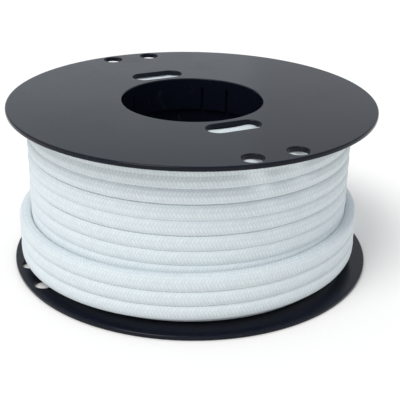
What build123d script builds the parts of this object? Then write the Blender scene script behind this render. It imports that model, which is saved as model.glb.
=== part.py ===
"""String reel: a black plastic spool of three snap-together pieces, wound with thick braided cord.

Z runs up the bore, and the lower flange stands on z = 0 with the origin on the bore's axis.
Lengths are in millimetres and angles in degrees.
"""
import os
from math import asin, cos, degrees, pi, radians, sin, sqrt

from build123d import *

os.makedirs("parts", exist_ok=True)

# Reel, overall
overall_height = 90.5  # between the outer faces of the two flanges
flange_d = 200.0
bore_d = 77.0  # goes over a 76 mm winding core

# Flange disc
flange_t = 2.5
rim_round = 0.8  # rounded edges of the rim
mouth_round = 0.6  # rounded edges of the bore, slots and holes on the outer face

# Pairs of round holes near the rim, on opposite sides, which take the cord's end
rim_hole_d = 11.0
rim_hole_inset = 8.0  # from the rim to the holes' centres
rim_hole_pitch = 24.0  # between the two holes of a pair

# Slots beside the barrel, on opposite sides, in line with the hole pairs
slot_l = 30.0
slot_w = 13.0
slot_land = 0.5  # between the barrel and the slot

# Spigot that fits inside the barrel, with springy tongues that carry the snap nubs
spigot_wall = 1.5
spigot_depth = 16.0
tongue_count = 4
tongue_start = 45.0
tongue_w = 14.0
slit_w = 1.6  # on each side of a tongue
slit_root = 3.0  # length of spigot left whole beside the disc
nub_w = 10.0
nub_out = 1.2
nub_z = 7.0  # from the disc's inner face to the nub's catching face
nub_h = 4.0

# Barrel
barrel_wall = 1.9
barrel_gap = 0.1  # between spigot and barrel
snap_play = 0.2  # around each nub in its window

# Cord as it lies on the reel, pressed from an 8 mm round braid
cord_w = 7.75  # along the reel's axis
cord_h = 6.9  # across the layers
layer_sink = 0.35  # how far a layer settles between the turns below it
outer_turns = 3  # turns of the last, unfinished layer
outer_spacing = 0.1  # between the turns of the last layer
outer_sink = 0.55  # how far the last layer settles
rim_margin = 5.0  # least height of flange left above the cord
coil_gap = 0.1  # between the cord and the plastic

# Strip of tape that holds the cord's outer end
tape_w = 19.0
tape_l = 52.0
tape_t = 0.4
tape_gap = 0.05
cord_end_angle = 32.0  # where the cord's outer end lies
tape_past_end = 16.0  # length of tape past the cord's end

# Worked out from the sizes above
flange_r = flange_d / 2
bore_r = bore_d / 2
spigot_r = bore_r + spigot_wall
barrel_inner_r = spigot_r + barrel_gap
barrel_r = barrel_inner_r + barrel_wall
inner_width = overall_height - 2 * flange_t
slot_r = barrel_r + slot_land + slot_w / 2
rim_hole_r = flange_r - rim_hole_inset
rim_hole_x = sqrt(rim_hole_r**2 - (rim_hole_pitch / 2) ** 2)

coil_inner_r = barrel_r + coil_gap
coil_bottom = flange_t + coil_gap
coil_top = overall_height - flange_t - coil_gap
layer_rise = cord_h - layer_sink
outer_rise = cord_h - outer_sink
outer_pitch = cord_w + outer_spacing
layer_room = flange_r - rim_margin - outer_rise - coil_inner_r - cord_h
full_layers = 1 + int(layer_room / layer_rise)
layer_turns = int((coil_top - coil_bottom) / cord_w)
full_r = coil_inner_r + cord_h + (full_layers - 1) * layer_rise
outer_r = full_r + outer_rise
outer_top = coil_bottom + outer_turns * outer_pitch + cord_w


def radial_plane(angle):
    """Plane through the reel's axis: its X points outwards at the angle, and its Y points up."""
    outwards = (cos(radians(angle)), sin(radians(angle)), 0)
    return Plane(origin=(0, 0, 0), x_dir=outwards, z_dir=(outwards[1], -outwards[0], 0))


def wound_length():
    """Length of the whole winding along the middle of the cord."""
    first_r = coil_inner_r + cord_h / 2
    layer_radii = [first_r + layer * layer_rise for layer in range(full_layers)]
    outer_layer_r = outer_r - cord_h / 2
    return 2 * pi * (layer_turns * sum(layer_radii) + outer_turns * outer_layer_r)


# Flange moulding, outer face down on z = 0. Both flanges come from it.
with BuildPart() as moulding:
    with BuildSketch():
        Circle(flange_r)
        Circle(bore_r, mode=Mode.SUBTRACT)
        with Locations((slot_r, 0), (-slot_r, 0)):
            SlotOverall(slot_l, slot_w, rotation=90, mode=Mode.SUBTRACT)
        with GridLocations(2 * rim_hole_x, rim_hole_pitch, 2, 2):
            Circle(rim_hole_d / 2, mode=Mode.SUBTRACT)
    extrude(amount=flange_t)
    outer_face = moulding.faces().sort_by(Axis.Z)[0]
    mouths = outer_face.inner_wires().edges()
    rim = moulding.edges().filter_by(lambda edge: edge.geom_type == GeomType.CIRCLE)
    fillet(rim.filter_by(lambda edge: edge.radius > rim_hole_r), rim_round)
    fillet(mouths, mouth_round)

    # Spigot
    with BuildSketch(Plane.XY.offset(flange_t)):
        Circle(spigot_r)
        Circle(bore_r, mode=Mode.SUBTRACT)
    extrude(amount=spigot_depth)

    # Slits that free the tongues
    slit_angle = degrees(asin((tongue_w + slit_w) / 2 / spigot_r))
    with BuildSketch(Plane.XY.offset(flange_t + slit_root)):
        for side in (-1, 1):
            with PolarLocations(spigot_r, tongue_count, start_angle=tongue_start + side * slit_angle):
                Rectangle(4 * spigot_wall, slit_w)
    extrude(amount=spigot_depth, mode=Mode.SUBTRACT)

    # Snap nubs: a flat catching face towards the disc, and a ramp towards the spigot's free end
    nub_arc = degrees(nub_w / spigot_r)
    nub_root_r = spigot_r - spigot_wall / 2
    nub_low = flange_t + nub_z
    for tongue in range(tongue_count):
        nub_angle = tongue_start + tongue * 360 / tongue_count
        with BuildSketch(radial_plane(nub_angle - nub_arc / 2)):
            with BuildLine():
                Polyline(
                    (nub_root_r, nub_low),
                    (spigot_r + nub_out, nub_low),
                    (spigot_r + nub_out, nub_low + nub_h / 4),
                    (spigot_r, nub_low + nub_h),
                    (nub_root_r, nub_low + nub_h),
                    close=True,
                )
            make_face()
        revolve(axis=Axis.Z, revolution_arc=nub_arc)

# The two flanges: the upper one is the same moulding turned over and a quarter turn round.
flange_seats = {
    "lower_flange": Location((0, 0, 0)),
    "upper_flange": Location((0, 0, overall_height), (180, 0, 90)),
}
for node, seat in flange_seats.items():
    with BuildPart() as flange:
        with Locations(seat):
            add(moulding.part)
    flange.part.label = node
    export_step(flange.part, f"parts/{node}.step")

# Barrel: a tube between the flanges, with a window at each end for every nub.
with BuildPart() as barrel:
    with BuildSketch(Plane.XY.offset(flange_t)):
        Circle(barrel_r)
        Circle(barrel_inner_r, mode=Mode.SUBTRACT)
    extrude(amount=inner_width)
    window_w = nub_w + 2 * snap_play
    window_h = nub_h + 2 * snap_play
    lower_window = flange_t + nub_z - snap_play
    upper_window = overall_height - lower_window - window_h
    for window_bottom in (lower_window, upper_window):
        with BuildSketch(Plane.XY.offset(window_bottom)):
            with PolarLocations(barrel_r, tongue_count, start_angle=tongue_start):
                Rectangle(4 * barrel_wall, window_w)
        extrude(amount=window_h, mode=Mode.SUBTRACT)
barrel.part.label = "barrel"
export_step(barrel.part, "parts/barrel.step")

# Wound cord: the outer shape of all its turns, with the unfinished last layer standing out below.
with BuildPart() as wound_cord:
    with BuildSketch(Plane.XZ):
        with BuildLine():
            Polyline(
                (coil_inner_r, coil_bottom),
                (outer_r, coil_bottom),
                (outer_r, outer_top),
                (full_r, outer_top),
                (full_r, coil_top),
                (coil_inner_r, coil_top),
                close=True,
            )
        make_face()
    revolve(axis=Axis.Z)
    circles = wound_cord.edges().filter_by(GeomType.CIRCLE)
    outer_edges = circles.filter_by(lambda edge: edge.radius > full_r + outer_rise / 2)
    top_edge = circles.filter_by(lambda edge: edge.radius > coil_inner_r + cord_h).sort_by(Axis.Z)[-1]
    fillet(outer_edges + [top_edge], cord_h / 2)
wound_cord.part.label = "wound_cord"
export_step(wound_cord.part, "parts/wound_cord.step")

# End tape: a strip that lies along the top two turns of the last layer, over the cord's end.
with BuildPart() as end_tape:
    tape_r = outer_r + tape_gap
    tape_start = cord_end_angle + degrees((tape_past_end - tape_l) / tape_r)
    with BuildSketch(radial_plane(tape_start)):
        with Locations((tape_r + tape_t / 2, outer_top - cord_h / 2 - tape_w / 2)):
            Rectangle(tape_t, tape_w)
    revolve(axis=Axis.Z, revolution_arc=degrees(tape_l / tape_r))
end_tape.part.label = "end_tape"
export_step(end_tape.part, "parts/end_tape.step")

print(f"{full_layers} full layers of {layer_turns} turns and {outer_turns} more turns")
print(f"cord on the reel: {wound_length() / 1000:.2f} m")
print(f"cord out to r {outer_r:.2f} up to z {outer_top:.2f}, and r {full_r:.2f} above it")
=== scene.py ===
"""String reel: a black moulded spool wound with thick white braided cord.

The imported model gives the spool. This add-on winds the cord on it turn by turn, tapes the cord's
outer end down, gives every piece its finish and sets up the studio.
"""
from math import cos, pi, radians, sin, tau

import bpy
import numpy as np
from bpy.props import FloatProperty, FloatVectorProperty, IntProperty, PointerProperty
from bpy.types import Operator, Panel, PropertyGroup
from mathutils import Matrix, Vector


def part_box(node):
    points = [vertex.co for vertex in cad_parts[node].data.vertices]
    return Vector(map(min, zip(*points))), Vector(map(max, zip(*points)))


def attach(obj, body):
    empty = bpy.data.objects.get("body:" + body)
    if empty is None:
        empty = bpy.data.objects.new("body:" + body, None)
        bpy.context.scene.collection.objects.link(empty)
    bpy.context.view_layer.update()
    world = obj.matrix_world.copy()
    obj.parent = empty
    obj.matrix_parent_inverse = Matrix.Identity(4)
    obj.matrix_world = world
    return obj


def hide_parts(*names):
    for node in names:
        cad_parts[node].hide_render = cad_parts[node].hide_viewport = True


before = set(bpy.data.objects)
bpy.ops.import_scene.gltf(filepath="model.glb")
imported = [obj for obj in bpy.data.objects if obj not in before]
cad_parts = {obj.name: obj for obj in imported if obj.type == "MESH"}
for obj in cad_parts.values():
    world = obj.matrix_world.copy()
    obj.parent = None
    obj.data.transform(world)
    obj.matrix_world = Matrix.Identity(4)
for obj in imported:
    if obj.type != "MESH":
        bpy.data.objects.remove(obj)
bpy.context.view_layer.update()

bl_info = {
    "name": "String Reel",
    "version": (1, 0, 0),
    "blender": (4, 5, 0),
    "location": "View3D > Sidebar > Reel",
    "description": "Winds braided cord on a moulded spool and sets up a studio for it",
    "category": "Add Mesh",
}

COIL_LOW, COIL_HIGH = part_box("wound_cord")
BARREL_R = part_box("barrel")[1].x
REEL_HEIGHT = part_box("upper_flange")[1].z
CORD_UV = "CordUV"
TAPE_UV = "TapeUV"
TAPE_NAME = "cord_end_tape"
MM = 0.001


# ---------------------------------------------------------------------------------------------
# Settings
# ---------------------------------------------------------------------------------------------

def length_setting(name, description, default):
    """A size in metres."""
    return FloatProperty(
        name=name, description=description, default=default, unit="LENGTH", precision=5
    )


def angle_setting(name, description, default):
    """An angle, given in degrees."""
    return FloatProperty(
        name=name, description=description, default=radians(default), subtype="ANGLE"
    )


def colour_setting(name, description, default):
    """A linear colour without alpha."""
    return FloatVectorProperty(
        name=name,
        description=description,
        default=default,
        size=3,
        subtype="COLOR",
        min=0.0,
        max=1.0,
    )


def share_setting(name, description, default):
    """A number from 0 to 1."""
    return FloatProperty(name=name, description=description, default=default, min=0.0, max=1.0)


def count_setting(name, description, default, least):
    """A whole number."""
    return IntProperty(name=name, description=description, default=default, min=least)


class CordSettings(PropertyGroup):
    """The cord, and how it lies on the reel."""

    diameter: length_setting("Diameter", "The cord's diameter when it is free", 0.008)
    turn_width: length_setting("Turn width", "A pressed turn along the reel's axis", 0.0088)
    turn_height: length_setting("Turn height", "A pressed turn across the layers", 0.0069)
    squareness: FloatProperty(
        name="Squareness",
        description="Exponent of the section: 2 is an ellipse",
        default=3.2,
        min=2.0,
        max=6.0,
    )
    full_layers: count_setting("Full layers", "Layers that reach both flanges", 7, 1)
    layer_turns: count_setting("Turns", "Turns in a full layer", 11, 2)
    last_turns: count_setting("Last turns", "Turns of the unfinished layer", 3, 1)
    layer_sink: length_setting("Layer sink", "How far a layer settles into the one below", 0.00035)
    last_sink: length_setting("Last sink", "How far the unfinished layer settles", 0.00055)
    last_pitch: length_setting("Last pitch", "From turn to turn of the unfinished layer", 0.00785)
    end_angle: angle_setting(
        "End angle", "Where the cord's outer end lies, and where its layers start", 32.0
    )
    crossover: angle_setting("Crossover", "Arc over which a turn steps across to the next", 46.0)
    lean: length_setting("Lean", "How far the outer turns stand out to one side", 0.0017)
    lean_angle: angle_setting("Lean angle", "The side to which the outer turns stand out", 154.0)
    stitch: length_setting("Stitch", "Length of one stitch of the braid", 0.0018)
    strands: count_setting("Strands", "Strands of the braid each way round", 12, 4)
    colour: colour_setting("Colour", "The braid's yarn", (0.69, 0.745, 0.76))
    # Painted shade: the yarn is drawn darker in the gaps between the strands, where shade falls.
    gap_shade_colour: colour_setting("Gap colour", "The yarn between the strands", (0.59, 0.65, 0.675))


class SpoolSettings(PropertyGroup):
    """The moulded plastic of the flanges and the barrel."""

    colour: colour_setting("Colour", "The plastic", (0.0048, 0.0064, 0.0128))
    roughness: share_setting("Roughness", "The plastic's roughness", 0.17)
    grain: length_setting("Grain", "Size of the mould's fine texture", 0.0009)


class TapeSettings(PropertyGroup):
    """The strip of tape over the cord's outer end."""

    length: length_setting("Length", "The tape along the turns", 0.052)
    past_end: length_setting("Past end", "How far the tape goes past the cord's end", 0.016)
    above_end: length_setting("Above end", "The tape's upper edge above the cord's end", 0.0036)
    thickness: length_setting("Thickness", "The tape's thickness", 0.00025)
    thread: length_setting("Thread", "From one thread of the cloth to the next", 0.00045)
    colour: colour_setting("Colour", "The tape's threads", (0.66, 0.60, 0.48))
    # Painted shade: the tape is drawn darker on the sides of its threads and between them, where
    # shade falls.
    gap_shade_colour: colour_setting("Gap colour", "The tape between its threads", (0.46, 0.40, 0.30))


class StageSettings(PropertyGroup):
    """The camera, the lights and the floor."""

    azimuth: angle_setting("Azimuth", "Where the camera stands round the reel", -25.8)
    elevation: angle_setting("Elevation", "How far the camera looks down", 24.037)
    roll: angle_setting("Roll", "The camera's turn about its own view", 1.046)
    distance: length_setting("Distance", "From the camera to what it looks at", 0.50811)
    aim_side: length_setting("Aim side", "The camera's aim, to the right of the axis", 0.00514)
    aim_height: length_setting("Aim height", "The camera's aim, above the floor", 0.03015)
    lens: FloatProperty(name="Lens", description="Focal length in millimetres", default=80.043)
    floor_colour: colour_setting("Floor colour", "The floor's paint", (0.97, 0.94, 0.91))
    sky_colour: colour_setting("Sky colour", "The light from all round", (0.91, 0.955, 1.0))
    sky: FloatProperty(name="Sky", description="Strength of the light all round", default=0.75)
    key: FloatProperty(name="Key", description="Strength of the main light", default=1.45)
    key_size: angle_setting("Key size", "How broad the main light is, seen from the reel", 26.0)
    fill: FloatProperty(name="Fill", description="Watts of the light from the left", default=0.9)
    back: FloatProperty(name="Back", description="Watts of the light from behind", default=0.45)
    back_colour: colour_setting("Back colour", "The light from behind", (0.78, 0.9, 1.0))


# ---------------------------------------------------------------------------------------------
# Node tree helpers
# ---------------------------------------------------------------------------------------------

def add_node(tree, kind, inputs=None, **properties):
    """Adds a node, sets its properties, then fills its inputs with values or links."""
    node = tree.nodes.new(kind)
    for key, value in properties.items():
        setattr(node, key, value)
    for key, value in (inputs or {}).items():
        if isinstance(value, bpy.types.NodeSocket):
            tree.links.new(value, node.inputs[key])
        else:
            node.inputs[key].default_value = value
    return node


def spaced(values):
    """Keyword values by socket name. Underscores in the keywords stand for spaces."""
    return {key.replace("_", " "): value for key, value in values.items()}


def calc(tree, operation, *values):
    """A Math node on numbers or sockets. Returns its result."""
    return add_node(tree, "ShaderNodeMath", dict(enumerate(values)), operation=operation).outputs[0]


def vary(tree, base, mask, amount):
    """Adds an amount of a mask to a number or a socket."""
    return calc(tree, "MULTIPLY_ADD", mask, amount, base)


def waves(tree, value, humps=1.0):
    """A sine that makes this many humps, up and down in turn, as a value goes from 0 to 1."""
    return calc(tree, "SINE", calc(tree, "MULTIPLY", value, humps * pi))


def smooth_rise(tree, value, low, high):
    """0 up to low and 1 from high on, with a smooth rise between them."""
    return add_node(
        tree,
        "ShaderNodeMapRange",
        {"Value": value, "From Min": low, "From Max": high},
        interpolation_type="SMOOTHSTEP",
    ).outputs["Result"]


def noise(tree, vector, scale, **values):
    """A mask of noise, with more values for the node's inputs."""
    inputs = {"Vector": vector, "Scale": scale, **values}
    return add_node(tree, "ShaderNodeTexNoise", inputs).outputs["Fac"]


def mixed_colour(tree, share, first, second):
    """The first colour where the share is 0, and the second where it is 1."""
    return add_node(
        tree,
        "ShaderNodeMix",
        {"Factor": share, "A": (*first, 1.0), "B": (*second, 1.0)},
        data_type="RGBA",
    ).outputs["Result"]


def new_tree(name, kind, inputs, outputs):
    """A node group with named sockets. Returns the tree, its inputs by name and its output node."""
    tree = bpy.data.node_groups.new(name, kind)
    for direction, sockets in (("INPUT", inputs), ("OUTPUT", outputs)):
        for label, socket_type, default in sockets:
            socket = tree.interface.new_socket(label, in_out=direction, socket_type=socket_type)
            if default is not None:
                socket.default_value = default
    given = tree.nodes.new("NodeGroupInput").outputs
    return tree, given, tree.nodes.new("NodeGroupOutput")


def new_material(name, **values):
    """A material with a Principled shader on its output, and values for the shader's inputs."""
    material = bpy.data.materials.new(name)
    material.use_nodes = True
    tree = material.node_tree
    tree.nodes.clear()
    shader = add_node(tree, "ShaderNodeBsdfPrincipled", spaced(values))
    add_node(tree, "ShaderNodeOutputMaterial", {"Surface": shader.outputs["BSDF"]})
    return material, tree, shader


def place_group(tree, group, **values):
    """Puts a shader node group in a tree. Returns its outputs."""
    return add_node(tree, "ShaderNodeGroup", spaced(values), node_tree=group).outputs


def object_place(tree):
    """Each point's own place on its piece, in metres."""
    return add_node(tree, "ShaderNodeTexCoord").outputs["Object"]


def set_tinted_base(tree, shader, colour, tint):
    """Gives a shader a base colour, made lighter or darker by a tint."""
    shade = add_node(tree, "ShaderNodeVectorMath", {0: colour, "Scale": tint}, operation="SCALE")
    tree.links.new(shade.outputs[0], shader.inputs["Base Color"])


def set_bump(tree, shader, height, strength, distance):
    """Gives a shader relief from a height map."""
    inputs = {"Height": height, "Strength": strength, "Distance": distance}
    bump = add_node(tree, "ShaderNodeBump", inputs)
    tree.links.new(bump.outputs["Normal"], shader.inputs["Normal"])


# ---------------------------------------------------------------------------------------------
# Shared shader effects
# ---------------------------------------------------------------------------------------------

def grain_group():
    """Fine moulded or woven unevenness: a height, and a mask 45 times as broad for slow changes."""
    name = "Fine grain"
    if name in bpy.data.node_groups:
        return bpy.data.node_groups[name]
    tree, given, out = new_tree(
        name,
        "ShaderNodeTree",
        [("Vector", "NodeSocketVector", None), ("Size", "NodeSocketFloat", 0.001)],
        [("Height", "NodeSocketFloat", None), ("Broad", "NodeSocketFloat", None)],
    )
    scale = calc(tree, "DIVIDE", 1.0, given["Size"])
    broad_scale = calc(tree, "DIVIDE", scale, 45.0)
    fine = noise(tree, given["Vector"], scale, Detail=3.0)
    broad = noise(tree, given["Vector"], broad_scale, Detail=4.0)
    tree.links.new(fine, out.inputs["Height"])
    tree.links.new(broad, out.inputs["Broad"])
    return tree


def scuff_group():
    """Faint handling marks: thin stretched scratches and soft wipes, as masks from 0 to 1."""
    name = "Scuffs"
    if name in bpy.data.node_groups:
        return bpy.data.node_groups[name]
    tree, given, out = new_tree(
        name,
        "ShaderNodeTree",
        [("Vector", "NodeSocketVector", None), ("Amount", "NodeSocketFloat", 0.5)],
        [("Scratches", "NodeSocketFloat", None), ("Wipes", "NodeSocketFloat", None)],
    )
    marks = []
    for turn, scale in ((0.4, 70.0), (2.1, 95.0)):
        turned = add_node(
            tree,
            "ShaderNodeMapping",
            {"Vector": given["Vector"], "Rotation": (0.0, 0.0, turn), "Scale": (1.0, 9.0, 1.0)},
        )
        streaks = noise(tree, turned.outputs[0], scale, Detail=2.0, Distortion=0.6)
        marks.append(smooth_rise(tree, streaks, 0.66, 0.74))
    scratches = calc(tree, "MAXIMUM", *marks)
    clouds = noise(tree, given["Vector"], 14.0, Detail=5.0, Roughness=0.6, Distortion=0.8)
    wipes = smooth_rise(tree, clouds, 0.4, 0.75)
    tree.links.new(calc(tree, "MULTIPLY", scratches, given["Amount"]), out.inputs["Scratches"])
    tree.links.new(calc(tree, "MULTIPLY", wipes, given["Amount"]), out.inputs["Wipes"])
    return tree


def braid_group():
    """A two-over-two tubular braid on the cord's own UV map: u is metres along it, v is once round.

    Two sets of strands slant round the cord, one each way. Along and across count the strands of
    each set. A strand runs over two strands of the other set and then under two.
    """
    name = "Tubular braid"
    strands_over = 2.0
    second_lead = 3.0  # strands that bring the second set on top where the first set dives under
    crown_power = 0.6  # below 1 it makes a strand flatter than a sine across its top
    arch_power = 0.45  # and flatter along it
    filaments = 3.0  # fine ridges on each strand
    if name in bpy.data.node_groups:
        return bpy.data.node_groups[name]
    tree, given, out = new_tree(
        name,
        "ShaderNodeTree",
        [
            ("UV", "NodeSocketVector", None),
            ("Stitch", "NodeSocketFloat", 0.002),
            ("Strands", "NodeSocketFloat", 8.0),
        ],
        [
            ("Height", "NodeSocketFloat", None),
            ("Yarns", "NodeSocketFloat", None),
            ("Tone", "NodeSocketFloat", None),
        ],
    )
    split = add_node(tree, "ShaderNodeSeparateXYZ", {0: given["UV"]})
    run = calc(tree, "DIVIDE", split.outputs["X"], given["Stitch"])
    round_ = calc(tree, "MULTIPLY", split.outputs["Y"], given["Strands"])
    first = calc(tree, "ADD", run, round_)
    second = calc(tree, "SUBTRACT", run, round_)
    heights, yarns, tones = [], [], []
    for along, across, lead in ((first, second, 0.0), (second, first, second_lead)):
        strand = calc(tree, "FLOOR", across)
        inside = calc(tree, "FRACT", across)
        travel = calc(tree, "ADD", calc(tree, "SUBTRACT", along, strand), lead)
        repeat = calc(tree, "FLOORED_MODULO", travel, 2 * strands_over)
        part = calc(tree, "DIVIDE", repeat, strands_over)
        on_top = calc(tree, "LESS_THAN", part, 1.0)
        crown = calc(tree, "POWER", waves(tree, inside), crown_power)
        arch = calc(tree, "POWER", calc(tree, "MAXIMUM", waves(tree, part), 0.0), arch_power)
        heights.append(calc(tree, "MULTIPLY", crown, calc(tree, "MULTIPLY", arch, on_top)))
        ridges = calc(tree, "ABSOLUTE", waves(tree, inside, filaments))
        yarns.append(calc(tree, "MULTIPLY", ridges, on_top))
        chance = add_node(tree, "ShaderNodeTexWhiteNoise", {"W": strand}, noise_dimensions="1D")
        tones.append(calc(tree, "MULTIPLY", chance.outputs["Value"], on_top))
    tree.links.new(calc(tree, "MAXIMUM", *heights), out.inputs["Height"])
    tree.links.new(calc(tree, "MAXIMUM", *yarns), out.inputs["Yarns"])
    tree.links.new(calc(tree, "MAXIMUM", *tones), out.inputs["Tone"])
    return tree


# ---------------------------------------------------------------------------------------------
# Materials
# ---------------------------------------------------------------------------------------------

def spool_plastic(spool):
    """Black moulded plastic with a fine satin grain and faint handling marks."""
    worn_colour = (0.05, 0.052, 0.056)
    most_wear = 0.12  # how far a scratch goes towards that colour
    roughness_spread = 0.16
    material, tree, shader = new_material("Spool plastic", IOR=1.26)
    place = object_place(tree)
    grain = place_group(tree, grain_group(), Vector=place, Size=spool.grain)
    scuffs = place_group(tree, scuff_group(), Vector=place, Amount=1.0)
    rough = vary(tree, spool.roughness - roughness_spread / 2, grain["Broad"], roughness_spread)
    rough = vary(tree, rough, scuffs["Wipes"], amount=0.07)
    rough = vary(tree, rough, scuffs["Scratches"], amount=0.1)
    tree.links.new(rough, shader.inputs["Roughness"])
    wear = calc(tree, "MULTIPLY", scuffs["Scratches"], most_wear)
    tree.links.new(mixed_colour(tree, wear, spool.colour, worn_colour), shader.inputs["Base Color"])
    set_bump(tree, shader, grain["Height"], strength=0.12, distance=0.2 * MM)
    return material


def braided_yarn(cord):
    """White polyester yarn in a tubular braid, with painted shade between its strands."""
    material, tree, shader = new_material(
        "Braided cord",
        Roughness=0.72,
        Sheen_Weight=0.25,
        Sheen_Roughness=0.5,
        Specular_IOR_Level=0.3,
    )
    uv = add_node(tree, "ShaderNodeUVMap", uv_map=CORD_UV).outputs["UV"]
    strands = float(cord.strands)
    braid = place_group(tree, braid_group(), UV=uv, Stitch=cord.stitch, Strands=strands)
    grain = place_group(tree, grain_group(), Vector=object_place(tree), Size=0.4 * MM)
    # Painted shade: the low places between the strands get the darker gap colour.
    raised = smooth_rise(tree, braid["Height"], 0.1, 0.85)
    base = mixed_colour(tree, raised, cord.gap_shade_colour, cord.colour)
    tint = vary(tree, 0.95, braid["Tone"], amount=0.06)
    tint = vary(tree, tint, grain["Broad"], amount=0.04)
    set_tinted_base(tree, shader, base, tint)
    relief = vary(tree, braid["Height"], braid["Yarns"], amount=0.18)
    relief = vary(tree, relief, grain["Height"], amount=0.15)
    set_bump(tree, shader, relief, strength=0.45, distance=0.2 * MM)
    return material


def cloth_tape(tape):
    """Cream cloth tape: a plain weave on the tape's own UV map, in metres, under a thin coating,
    with painted shade between its threads.
    """
    material, tree, shader = new_material("Cloth tape")
    uv = add_node(tree, "ShaderNodeUVMap", uv_map=TAPE_UV).outputs["UV"]
    split = add_node(tree, "ShaderNodeSeparateXYZ", {0: uv})
    counts = [calc(tree, "DIVIDE", split.outputs[axis], tape.thread) for axis in ("X", "Y")]
    threads = [calc(tree, "ABSOLUTE", waves(tree, count)) for count in counts]
    cells = calc(tree, "ADD", *[calc(tree, "FLOOR", count) for count in counts])
    over = calc(tree, "FLOORED_MODULO", cells, 2.0)
    picked = {"Factor": over, "A": threads[0], "B": threads[1]}
    weave = add_node(tree, "ShaderNodeMix", picked).outputs["Result"]
    grain = place_group(tree, grain_group(), Vector=object_place(tree), Size=0.3 * MM)
    # Painted shade: the threads are drawn darker towards their sides and in the gaps between them.
    base = mixed_colour(tree, weave, tape.gap_shade_colour, tape.colour)
    set_tinted_base(tree, shader, base, vary(tree, 0.87, grain["Broad"], amount=0.22))
    relief = vary(tree, weave, grain["Height"], amount=0.3)
    set_bump(tree, shader, relief, strength=0.5, distance=0.1 * MM)
    tree.links.new(vary(tree, 0.62, weave, amount=-0.12), shader.inputs["Roughness"])
    return material


def floor_paint(stage):
    """Pale studio floor."""
    material, tree, shader = new_material("Studio floor", Roughness=0.8)
    grain = place_group(tree, grain_group(), Vector=object_place(tree), Size=4.0 * MM)
    tint = vary(tree, 0.99, grain["Broad"], amount=0.02)
    set_tinted_base(tree, shader, tuple(stage.floor_colour), tint)
    return material


# ---------------------------------------------------------------------------------------------
# The winding
# ---------------------------------------------------------------------------------------------

# How far each turn of the last full layer lies above its even place, in millimetres, from the top
# turn down.
TURN_DRIFT = (0.0, 2.4, 2.2, 1.3, 1.3, 0.7, 0.6, 0.8, 0.5, 0.2, 0.0)

POINTS_PER_TURN = 24  # control points
CURVE_STEPS = 8  # points of the smooth curve for each control point
SHOWN_STRIDE = 2  # every second of these is kept on the turns that show
HIDDEN_STRIDE = 4  # and every fourth on the hidden turns
SLOT_TURNS = 1.3  # turns beside a flange that may show through its slots
CORD_SIDES = 16

# The rings that round off an end of the cord: how far each stands out and how big it is, as shares
# of half the turn's height and of the whole section.
END_RINGS = ((0.35, 0.93), (0.62, 0.76), (0.85, 0.45), (0.95, 0.0))

TAPE_COLUMNS = 105
TAPE_ROWS = 39
TAPE_ROUNDS = 60  # passes that pull the tape taut
TAPE_GAP = 0.05 * MM  # between the tape and the turns under it
PINKING_PITCH = 2.0 * MM  # from one point of the tape's cut ends to the next
PINKING_DEPTH = 0.3 * MM


def turn_places(cord):
    """Radius and height of every turn of the full layers, from the barrel out."""
    rise = cord.turn_height - cord.layer_sink
    last_full_r = COIL_HIGH.x - cord.turn_height / 2 - (cord.turn_height - cord.last_sink)
    top = COIL_HIGH.z - cord.turn_width / 2
    bottom = COIL_LOW.z + cord.turn_width / 2
    places = []
    for layer in range(cord.full_layers):
        radius = last_full_r - (cord.full_layers - 1 - layer) * rise
        going_down = (cord.full_layers - 1 - layer) % 2 == 0
        start, stop = (top, bottom) if going_down else (bottom, top)
        for turn in range(cord.layer_turns):
            height = start + (stop - start) * turn / (cord.layer_turns - 1)
            if layer == cord.full_layers - 1:
                height += TURN_DRIFT[turn % len(TURN_DRIFT)] * MM
            places.append((radius, height))
    return places


def cord_line(cord):
    """Control points of the whole winding, from the cord's inner end to its outer end.

    The turns of the full layers lie level and step across over a short arc, and those of the last
    layer climb evenly.
    """
    places = turn_places(cord)
    full_turns = len(places)
    all_turns = full_turns + cord.last_turns
    half_step = cord.crossover / tau / 2
    last_r = COIL_HIGH.x - cord.turn_height / 2

    def place_of(turn, travelled):
        """Radius and height of a turn, after so many turns of travel."""
        if turn < 0:
            return places[0]
        if turn < full_turns:
            return places[turn]
        return last_r, places[-1][1] + cord.last_pitch * max(travelled - full_turns, 0.0)

    # A quadratic curve runs a little inside its control points, so these stand out by as much.
    spread = 1 / (0.75 + 0.25 * cos(tau / POINTS_PER_TURN))
    points = []
    for step in range(all_turns * POINTS_PER_TURN + 1):
        travelled = step / POINTS_PER_TURN
        crossing = round(travelled)
        across = max(-1.0, min(1.0, (travelled - crossing) / half_step))
        share = 0.5 + 0.5 * sin(across * pi / 2)
        before = place_of(crossing - 1, travelled)
        after = place_of(crossing, travelled) if crossing < all_turns else before
        radius = before[0] + (after[0] - before[0]) * share
        height = before[1] + (after[1] - before[1]) * share
        angle = cord.end_angle + tau * travelled
        depth = (radius - BARREL_R) / (last_r - BARREL_R)
        radius += cord.lean * depth * cos(angle - cord.lean_angle)
        points.append((radius * spread * cos(angle), radius * spread * sin(angle), height))
    return points


def spline_points(points):
    """Points along the smooth curve through a list of control points."""
    curve = bpy.data.curves.new("Cord line", "CURVE")
    curve.dimensions = "3D"
    curve.resolution_u = CURVE_STEPS
    spline = curve.splines.new("NURBS")
    spline.points.add(len(points) - 1)
    for point, place in zip(spline.points, points):
        point.co = (*place, 1.0)
    spline.order_u = 3
    spline.use_endpoint_u = True
    holder = bpy.data.objects.new("Cord line", curve)
    mesh = bpy.data.meshes.new_from_object(holder)
    path = np.array([vertex.co for vertex in mesh.vertices])
    bpy.data.objects.remove(holder)
    bpy.data.meshes.remove(mesh)
    bpy.data.curves.remove(curve)
    return path


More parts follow.
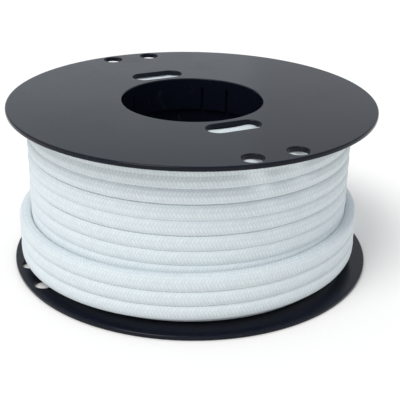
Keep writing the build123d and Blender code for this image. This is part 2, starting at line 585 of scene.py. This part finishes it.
def thin_out(path, cord):
    """Keeps every few points of a path, and fewer on the hidden turns than on those that show."""
    last_index = len(path) - 1
    per_turn = last_index / (len(turn_places(cord)) + cord.last_turns)
    # The step up to the last full layer lies within half a turn of its start.
    shown_from = (cord.full_layers - 1) * cord.layer_turns - 0.5
    kept = []
    for index in range(len(path)):
        turn = index / per_turn
        in_layer = turn % cord.layer_turns
        beside_flange = in_layer < SLOT_TURNS or in_layer > cord.layer_turns - SLOT_TURNS
        stride = SHOWN_STRIDE if beside_flange or turn > shown_from else HIDDEN_STRIDE
        if index % stride == 0 or index == last_index:
            kept.append(index)
    return path[kept]


def tube_tree():
    """Geometry nodes: sweeps an upright superellipse section along a line, with a UV map."""
    tree, given, out = new_tree(
        "Cord tube",
        "GeometryNodeTree",
        [
            ("Geometry", "NodeSocketGeometry", None),
            ("Width", "NodeSocketFloat", 0.008),
            ("Height", "NodeSocketFloat", 0.007),
            ("Squareness", "NodeSocketFloat", 2.0),
            ("Sides", "NodeSocketInt", CORD_SIDES),
            ("Material", "NodeSocketMaterial", None),
        ],
        [("Geometry", "NodeSocketGeometry", None)],
    )
    line = add_node(tree, "GeometryNodeMeshToCurve", {0: given["Geometry"]})
    upright = add_node(tree, "GeometryNodeSetCurveNormal", {0: line.outputs[0]}, mode="Z_UP")
    run = add_node(tree, "GeometryNodeCaptureAttribute", {0: upright.outputs[0]})
    run.capture_items.new("FLOAT", "Run")
    length = add_node(tree, "GeometryNodeSplineParameter").outputs["Length"]
    tree.links.new(length, run.inputs["Run"])

    # The section is an open line whose ends meet, so that the UV map has a clean seam.
    sides = calc(tree, "ADD", given["Sides"], 1)
    ends = {"Start": (0, 0, 0), "End": (1, 0, 0)}
    segment = add_node(tree, "GeometryNodeCurvePrimitiveLine", ends).outputs[0]
    divided = add_node(tree, "GeometryNodeResampleCurve", {"Curve": segment, "Count": sides})
    way = add_node(tree, "GeometryNodeCaptureAttribute", {0: divided.outputs[0]})
    way.capture_items.new("FLOAT", "Way")
    share = add_node(tree, "GeometryNodeSplineParameter").outputs["Factor"]
    tree.links.new(share, way.inputs["Way"])
    angle = calc(tree, "MULTIPLY", share, tau)
    power = calc(tree, "DIVIDE", 2.0, given["Squareness"])
    spots = []
    for operation, size in (("COSINE", given["Height"]), ("SINE", given["Width"])):
        wave = calc(tree, operation, angle)
        bent = calc(tree, "POWER", calc(tree, "ABSOLUTE", wave), power)
        signed = calc(tree, "MULTIPLY", bent, calc(tree, "SIGN", wave))
        half = calc(tree, "MULTIPLY", size, 0.5)
        spots.append(calc(tree, "MULTIPLY", signed, half))
    spot = add_node(tree, "ShaderNodeCombineXYZ", dict(enumerate(spots)))
    section = add_node(
        tree, "GeometryNodeSetPosition", {"Geometry": way.outputs[0], "Position": spot.outputs[0]}
    )

    girth = add_node(tree, "GeometryNodeInputNamedAttribute", {"Name": "girth"})
    tube = add_node(
        tree,
        "GeometryNodeCurveToMesh",
        {
            "Curve": run.outputs[0],
            "Profile Curve": section.outputs[0],
            "Scale": girth.outputs["Attribute"],
        },
    )
    chart = add_node(tree, "ShaderNodeCombineXYZ", {0: run.outputs["Run"], 1: way.outputs["Way"]})
    mapped = add_node(
        tree,
        "GeometryNodeStoreNamedAttribute",
        {"Geometry": tube.outputs[0], "Name": CORD_UV, "Value": chart.outputs[0]},
        data_type="FLOAT2",
        domain="CORNER",
    )
    closed = add_node(
        tree, "GeometryNodeMergeByDistance", {"Geometry": mapped.outputs[0], "Distance": 2e-7}
    )
    smooth = add_node(tree, "GeometryNodeSetShadeSmooth", {"Geometry": closed.outputs[0]})
    real = add_node(tree, "GeometryNodeRealizeInstances", {"Geometry": smooth.outputs[0]})
    painted = add_node(
        tree,
        "GeometryNodeSetMaterial",
        {"Geometry": real.outputs[0], "Material": given["Material"]},
    )
    tree.links.new(painted.outputs[0], out.inputs["Geometry"])
    return tree


def run_tree(name, mesh, tree, **values):
    """Runs a geometry node tree on a mesh, which is used up. Returns an object with the result."""
    source = bpy.data.objects.new(name, mesh)
    bpy.context.scene.collection.objects.link(source)
    modifier = source.modifiers.new("Nodes", "NODES")
    modifier.node_group = tree
    for item in tree.interface.items_tree:
        if item.item_type == "SOCKET" and item.in_out == "INPUT" and item.name in values:
            modifier[item.identifier] = values[item.name]
    bpy.context.view_layer.update()
    evaluated = source.evaluated_get(bpy.context.evaluated_depsgraph_get())
    made = bpy.data.meshes.new_from_object(evaluated)
    source.modifiers.remove(modifier)
    source.data = made
    made.name = name
    bpy.data.meshes.remove(mesh)
    return source


def line_mesh(path, girth):
    """A mesh of edges along a path, with the section's scale on its points."""
    mesh = bpy.data.meshes.new("Line")
    edges = [(index, index + 1) for index in range(len(path) - 1)]
    mesh.from_pydata([tuple(point) for point in path], edges, [])
    mesh.attributes.new("girth", "FLOAT", "POINT").data.foreach_set("value", girth)
    return mesh


def winding_path(cord):
    """Points along the middle of the cord, from its inner end to its outer end."""
    return thin_out(spline_points(cord_line(cord)), cord)


def rounded_ends(path, radius):
    """Rounds off both ends of a path. Returns the longer path and the section's scale along it."""
    reaches, scales = zip(*END_RINGS)
    tips = []
    for end, inner in ((path[0], path[1]), (path[-1], path[-2])):
        outwards = (end - inner) / np.linalg.norm(end - inner)
        tips.append([end + outwards * radius * reach for reach in reaches])
    whole = np.array([*tips[0][::-1], *path, *tips[1]])
    return whole, [*scales[::-1], *[1.0] * len(path), *scales]


def winding_surface(path, cord, angles, heights):
    """The winding's outer radius over a grid of angles and heights."""
    tiny = 1e-9  # the least scale of the section, past the cord's end
    turned = np.unwrap(np.arctan2(path[:, 1], path[:, 0]))
    turned -= tau * round((turned[0] - cord.end_angle) / tau)
    radii = np.hypot(path[:, 0], path[:, 1])
    surface = np.full((len(angles), len(heights)), BARREL_R)
    for turn in range(int(turned[-1] / tau) + 1):
        at = angles + tau * turn
        middle = np.interp(at, turned, radii)[:, None]
        level = np.interp(at, turned, path[:, 2])[:, None]
        past_end = np.clip((at - turned[-1]) * radii[-1] / (cord.turn_height / 2), 0.0, 1.0)
        girth = np.sqrt(1.0 - past_end**2)[:, None] + tiny
        across = np.abs(heights[None, :] - level) / (cord.turn_width / 2 * girth)
        rise = np.clip(1.0 - across**cord.squareness, 0.0, 1.0) ** (1.0 / cord.squareness)
        reached = middle + cord.turn_height / 2 * girth * rise
        surface = np.maximum(surface, np.where(across < 1.0, reached, BARREL_R))
    return surface


def pulled_taut(surface, rounds):
    """Lays a skin over a surface: it bridges narrow grooves and follows wide steps."""
    skin = surface
    for _ in range(rounds):
        padded = np.pad(skin, 1, mode="edge")
        around = padded[2:, 1:-1] + padded[:-2, 1:-1] + padded[1:-1, 2:] + padded[1:-1, :-2]
        skin = np.maximum(surface, around / 4)
    return skin


def tape_mesh(path, cord, tape):
    """The tape's grid, laid on the winding, with pinked ends and a UV map in metres."""

    def angle_at(run):
        """Angle round the reel at a distance along the tape."""
        return cord.end_angle + (tape.past_end - tape.length + run) / COIL_HIGH.x

    low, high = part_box("end_tape")
    along = np.linspace(0.0, tape.length, TAPE_COLUMNS)
    upper_edge = path[-1][2] + tape.above_end
    heights = np.linspace(upper_edge - (high.z - low.z), upper_edge, TAPE_ROWS)
    turns_below = winding_surface(path, cord, angle_at(along), heights)
    skin = pulled_taut(turns_below + TAPE_GAP, TAPE_ROUNDS)
    notch = 2 * PINKING_DEPTH * np.abs((heights / PINKING_PITCH) % 1.0 - 0.5)
    run = np.repeat(along[:, None], TAPE_ROWS, axis=1)
    run[0] += notch
    run[-1] -= notch
    turned = angle_at(run)
    level = np.broadcast_to(heights, run.shape)
    places = np.stack([skin * np.cos(turned), skin * np.sin(turned), level], axis=-1)
    faces = []
    for column in range(TAPE_COLUMNS - 1):
        for row in range(TAPE_ROWS - 1):
            corner = column * TAPE_ROWS + row
            faces.append((corner, corner + TAPE_ROWS, corner + TAPE_ROWS + 1, corner + 1))
    mesh = bpy.data.meshes.new(TAPE_NAME)
    mesh.from_pydata(places.reshape(-1, 3).tolist(), [], faces)
    chart = np.stack([run, level], axis=-1).reshape(-1, 2)
    corners = np.array(faces).ravel()
    mesh.uv_layers.new(name=TAPE_UV).data.foreach_set("uv", chart[corners].ravel())
    mesh.polygons.foreach_set("use_smooth", [True] * len(faces))
    return mesh


# ---------------------------------------------------------------------------------------------
# Operators
# ---------------------------------------------------------------------------------------------

class REEL_OT_stage(Operator):
    """Set up the camera, the lights and the floor"""

    bl_idname = "reel.stage"
    bl_label = "Set Up Studio"

    def execute(self, context):
        stage = context.scene.reel_stage
        place_camera(context.scene, stage)
        light_scene(context.scene, stage)
        lay_floor(context.scene, stage)
        return {"FINISHED"}


class REEL_OT_cord(Operator):
    """Wind the braided cord on the barrel, turn by turn"""

    bl_idname = "reel.cord"
    bl_label = "Wind Cord"

    def execute(self, context):
        cord = context.scene.reel_cord
        path, girth = rounded_ends(winding_path(cord), cord.turn_height / 2)
        piece = run_tree(
            "braided_cord",
            line_mesh(path, girth),
            tube_tree(),
            Width=cord.turn_width,
            Height=cord.turn_height,
            Squareness=cord.squareness,
            Sides=CORD_SIDES,
            Material=braided_yarn(cord),
        )
        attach(piece, "root")
        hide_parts("wound_cord")
        return {"FINISHED"}


class REEL_OT_spool(Operator):
    """Give the flanges and the barrel their plastic"""

    bl_idname = "reel.spool"
    bl_label = "Finish Spool"

    def execute(self, context):
        plastic = spool_plastic(context.scene.reel_spool)
        for name in ("upper_flange", "lower_flange", "barrel"):
            for material_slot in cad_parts[name].material_slots:
                material_slot.material = plastic
        return {"FINISHED"}


class REEL_OT_tape(Operator):
    """Tape the cord's outer end down"""

    bl_idname = "reel.tape"
    bl_label = "Tape Cord End"

    def execute(self, context):
        cord = context.scene.reel_cord
        tape = context.scene.reel_tape
        mesh = tape_mesh(winding_path(cord), cord, tape)
        mesh.materials.append(cloth_tape(tape))
        piece = bpy.data.objects.new(TAPE_NAME, mesh)
        context.scene.collection.objects.link(piece)
        wall = piece.modifiers.new("Thickness", "SOLIDIFY")
        wall.thickness = tape.thickness
        wall.offset = 1.0
        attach(piece, "root")
        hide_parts("end_tape")
        return {"FINISHED"}


class REEL_PT_panel(Panel):
    """The reel's settings and its pieces, in the order that they are made"""

    bl_label = "String Reel"
    bl_idname = "REEL_PT_panel"
    bl_space_type = "VIEW_3D"
    bl_region_type = "UI"
    bl_category = "Reel"

    def draw(self, context):
        for name, group, operator in STEPS:
            box = self.layout.box()
            settings = getattr(context.scene, name)
            for setting in group.__annotations__:
                box.prop(settings, setting)
            box.operator(operator.bl_idname)


# ---------------------------------------------------------------------------------------------
# Studio
# ---------------------------------------------------------------------------------------------

FLOOR_RADIUS = 4.0
FLOOR_SIDES = 96

# Where the lights stand and how broad they are, in metres. As the camera sees it, x is to the
# right, y is away from the camera and z is up. The key light has only a direction.
KEY_FROM = Vector((-0.33, -0.42, 0.9))
FILL_PLACE = Vector((-1.2, -0.35, 0.3))
FILL_SIZE = 0.8
BACK_PLACE = Vector((-0.3, 2.0, 0.45))
BACK_SIZE = 0.9


def place_camera(scene, stage):
    """Camera that looks down on the reel's front, turned a little about its own view."""
    turn = Matrix.Rotation(stage.azimuth, 3, "Z")
    back = turn @ Vector((0.0, -cos(stage.elevation), sin(stage.elevation)))
    right = turn @ Vector((1.0, 0.0, 0.0))
    up = back.cross(right)
    side = right * cos(stage.roll) + up * sin(stage.roll)
    top = up * cos(stage.roll) - right * sin(stage.roll)
    aim = turn @ Vector((stage.aim_side, 0.0, 0.0)) + Vector((0.0, 0.0, stage.aim_height))
    data = bpy.data.cameras.new("Camera")
    data.sensor_width = 36.0
    data.lens = stage.lens
    data.clip_start = 0.01
    camera = bpy.data.objects.new("Camera", data)
    frame_axes = Matrix((side, top, back)).transposed().to_4x4()
    camera.matrix_world = Matrix.Translation(aim + back * stage.distance) @ frame_axes
    scene.collection.objects.link(camera)
    scene.camera = camera


def area_light(scene, name, place, size, watts, colour=(1.0, 1.0, 1.0)):
    """Square soft light that faces the middle of the reel. Its size is in metres."""
    data = bpy.data.lights.new(name, "AREA")
    data.energy = watts
    data.size = size
    data.color = colour
    light = bpy.data.objects.new(name, data)
    light.location = place
    towards = Vector((0.0, 0.0, REEL_HEIGHT / 2)) - place
    light.rotation_mode = "QUATERNION"
    light.rotation_quaternion = towards.to_track_quat("-Z", "Y")
    scene.collection.objects.link(light)


def sun_light(scene, name, source, size, strength):
    """Even light from far away, in the direction of its source. Its size is an angle."""
    data = bpy.data.lights.new(name, "SUN")
    data.energy = strength
    data.angle = size
    light = bpy.data.objects.new(name, data)
    light.rotation_mode = "QUATERNION"
    light.rotation_quaternion = source.to_track_quat("Z", "Y")
    scene.collection.objects.link(light)


def light_scene(scene, stage):
    """Light from all round, from high at the front left, from the left and from behind."""
    world = bpy.data.worlds.new("Studio")
    world.use_nodes = True
    background = world.node_tree.nodes["Background"]
    background.inputs["Color"].default_value = (*stage.sky_colour, 1.0)
    background.inputs["Strength"].default_value = stage.sky
    scene.world = world
    turn = Matrix.Rotation(stage.azimuth, 3, "Z")
    sun_light(scene, "Key light", turn @ KEY_FROM, stage.key_size, stage.key)
    area_light(scene, "Fill light", turn @ FILL_PLACE, FILL_SIZE, stage.fill)
    area_light(scene, "Back light", turn @ BACK_PLACE, BACK_SIZE, stage.back, stage.back_colour)
    scene.view_settings.view_transform = "Standard"


def lay_floor(scene, stage):
    """A broad round floor under the reel."""
    corners = [tau * corner / FLOOR_SIDES for corner in range(FLOOR_SIDES)]
    rim = [(FLOOR_RADIUS * cos(angle), FLOOR_RADIUS * sin(angle), 0.0) for angle in corners]
    mesh = bpy.data.meshes.new("Floor")
    mesh.from_pydata(rim, [], [list(range(FLOOR_SIDES))])
    mesh.materials.append(floor_paint(stage))
    floor = bpy.data.objects.new("floor", mesh)
    scene.collection.objects.link(floor)


# ---------------------------------------------------------------------------------------------
# Registration
# ---------------------------------------------------------------------------------------------

# The scene's groups of settings and the operators that use them, in the order of the work. The
# tape comes before the cord.
STEPS = (
    ("reel_stage", StageSettings, REEL_OT_stage),
    ("reel_tape", TapeSettings, REEL_OT_tape),
    ("reel_cord", CordSettings, REEL_OT_cord),
    ("reel_spool", SpoolSettings, REEL_OT_spool),
)


def register():
    for name, group, operator in STEPS:
        bpy.utils.register_class(group)
        bpy.utils.register_class(operator)
        setattr(bpy.types.Scene, name, PointerProperty(type=group))
    bpy.utils.register_class(REEL_PT_panel)


def unregister():
    bpy.utils.unregister_class(REEL_PT_panel)
    for name, group, operator in reversed(STEPS):
        delattr(bpy.types.Scene, name)
        bpy.utils.unregister_class(operator)
        bpy.utils.unregister_class(group)


def main():
    """Makes the whole scene."""
    register()
    bpy.ops.reel.stage()
    bpy.ops.reel.tape()
    bpy.ops.reel.cord()
    bpy.ops.reel.spool()


if __name__ == "__main__":
    main()
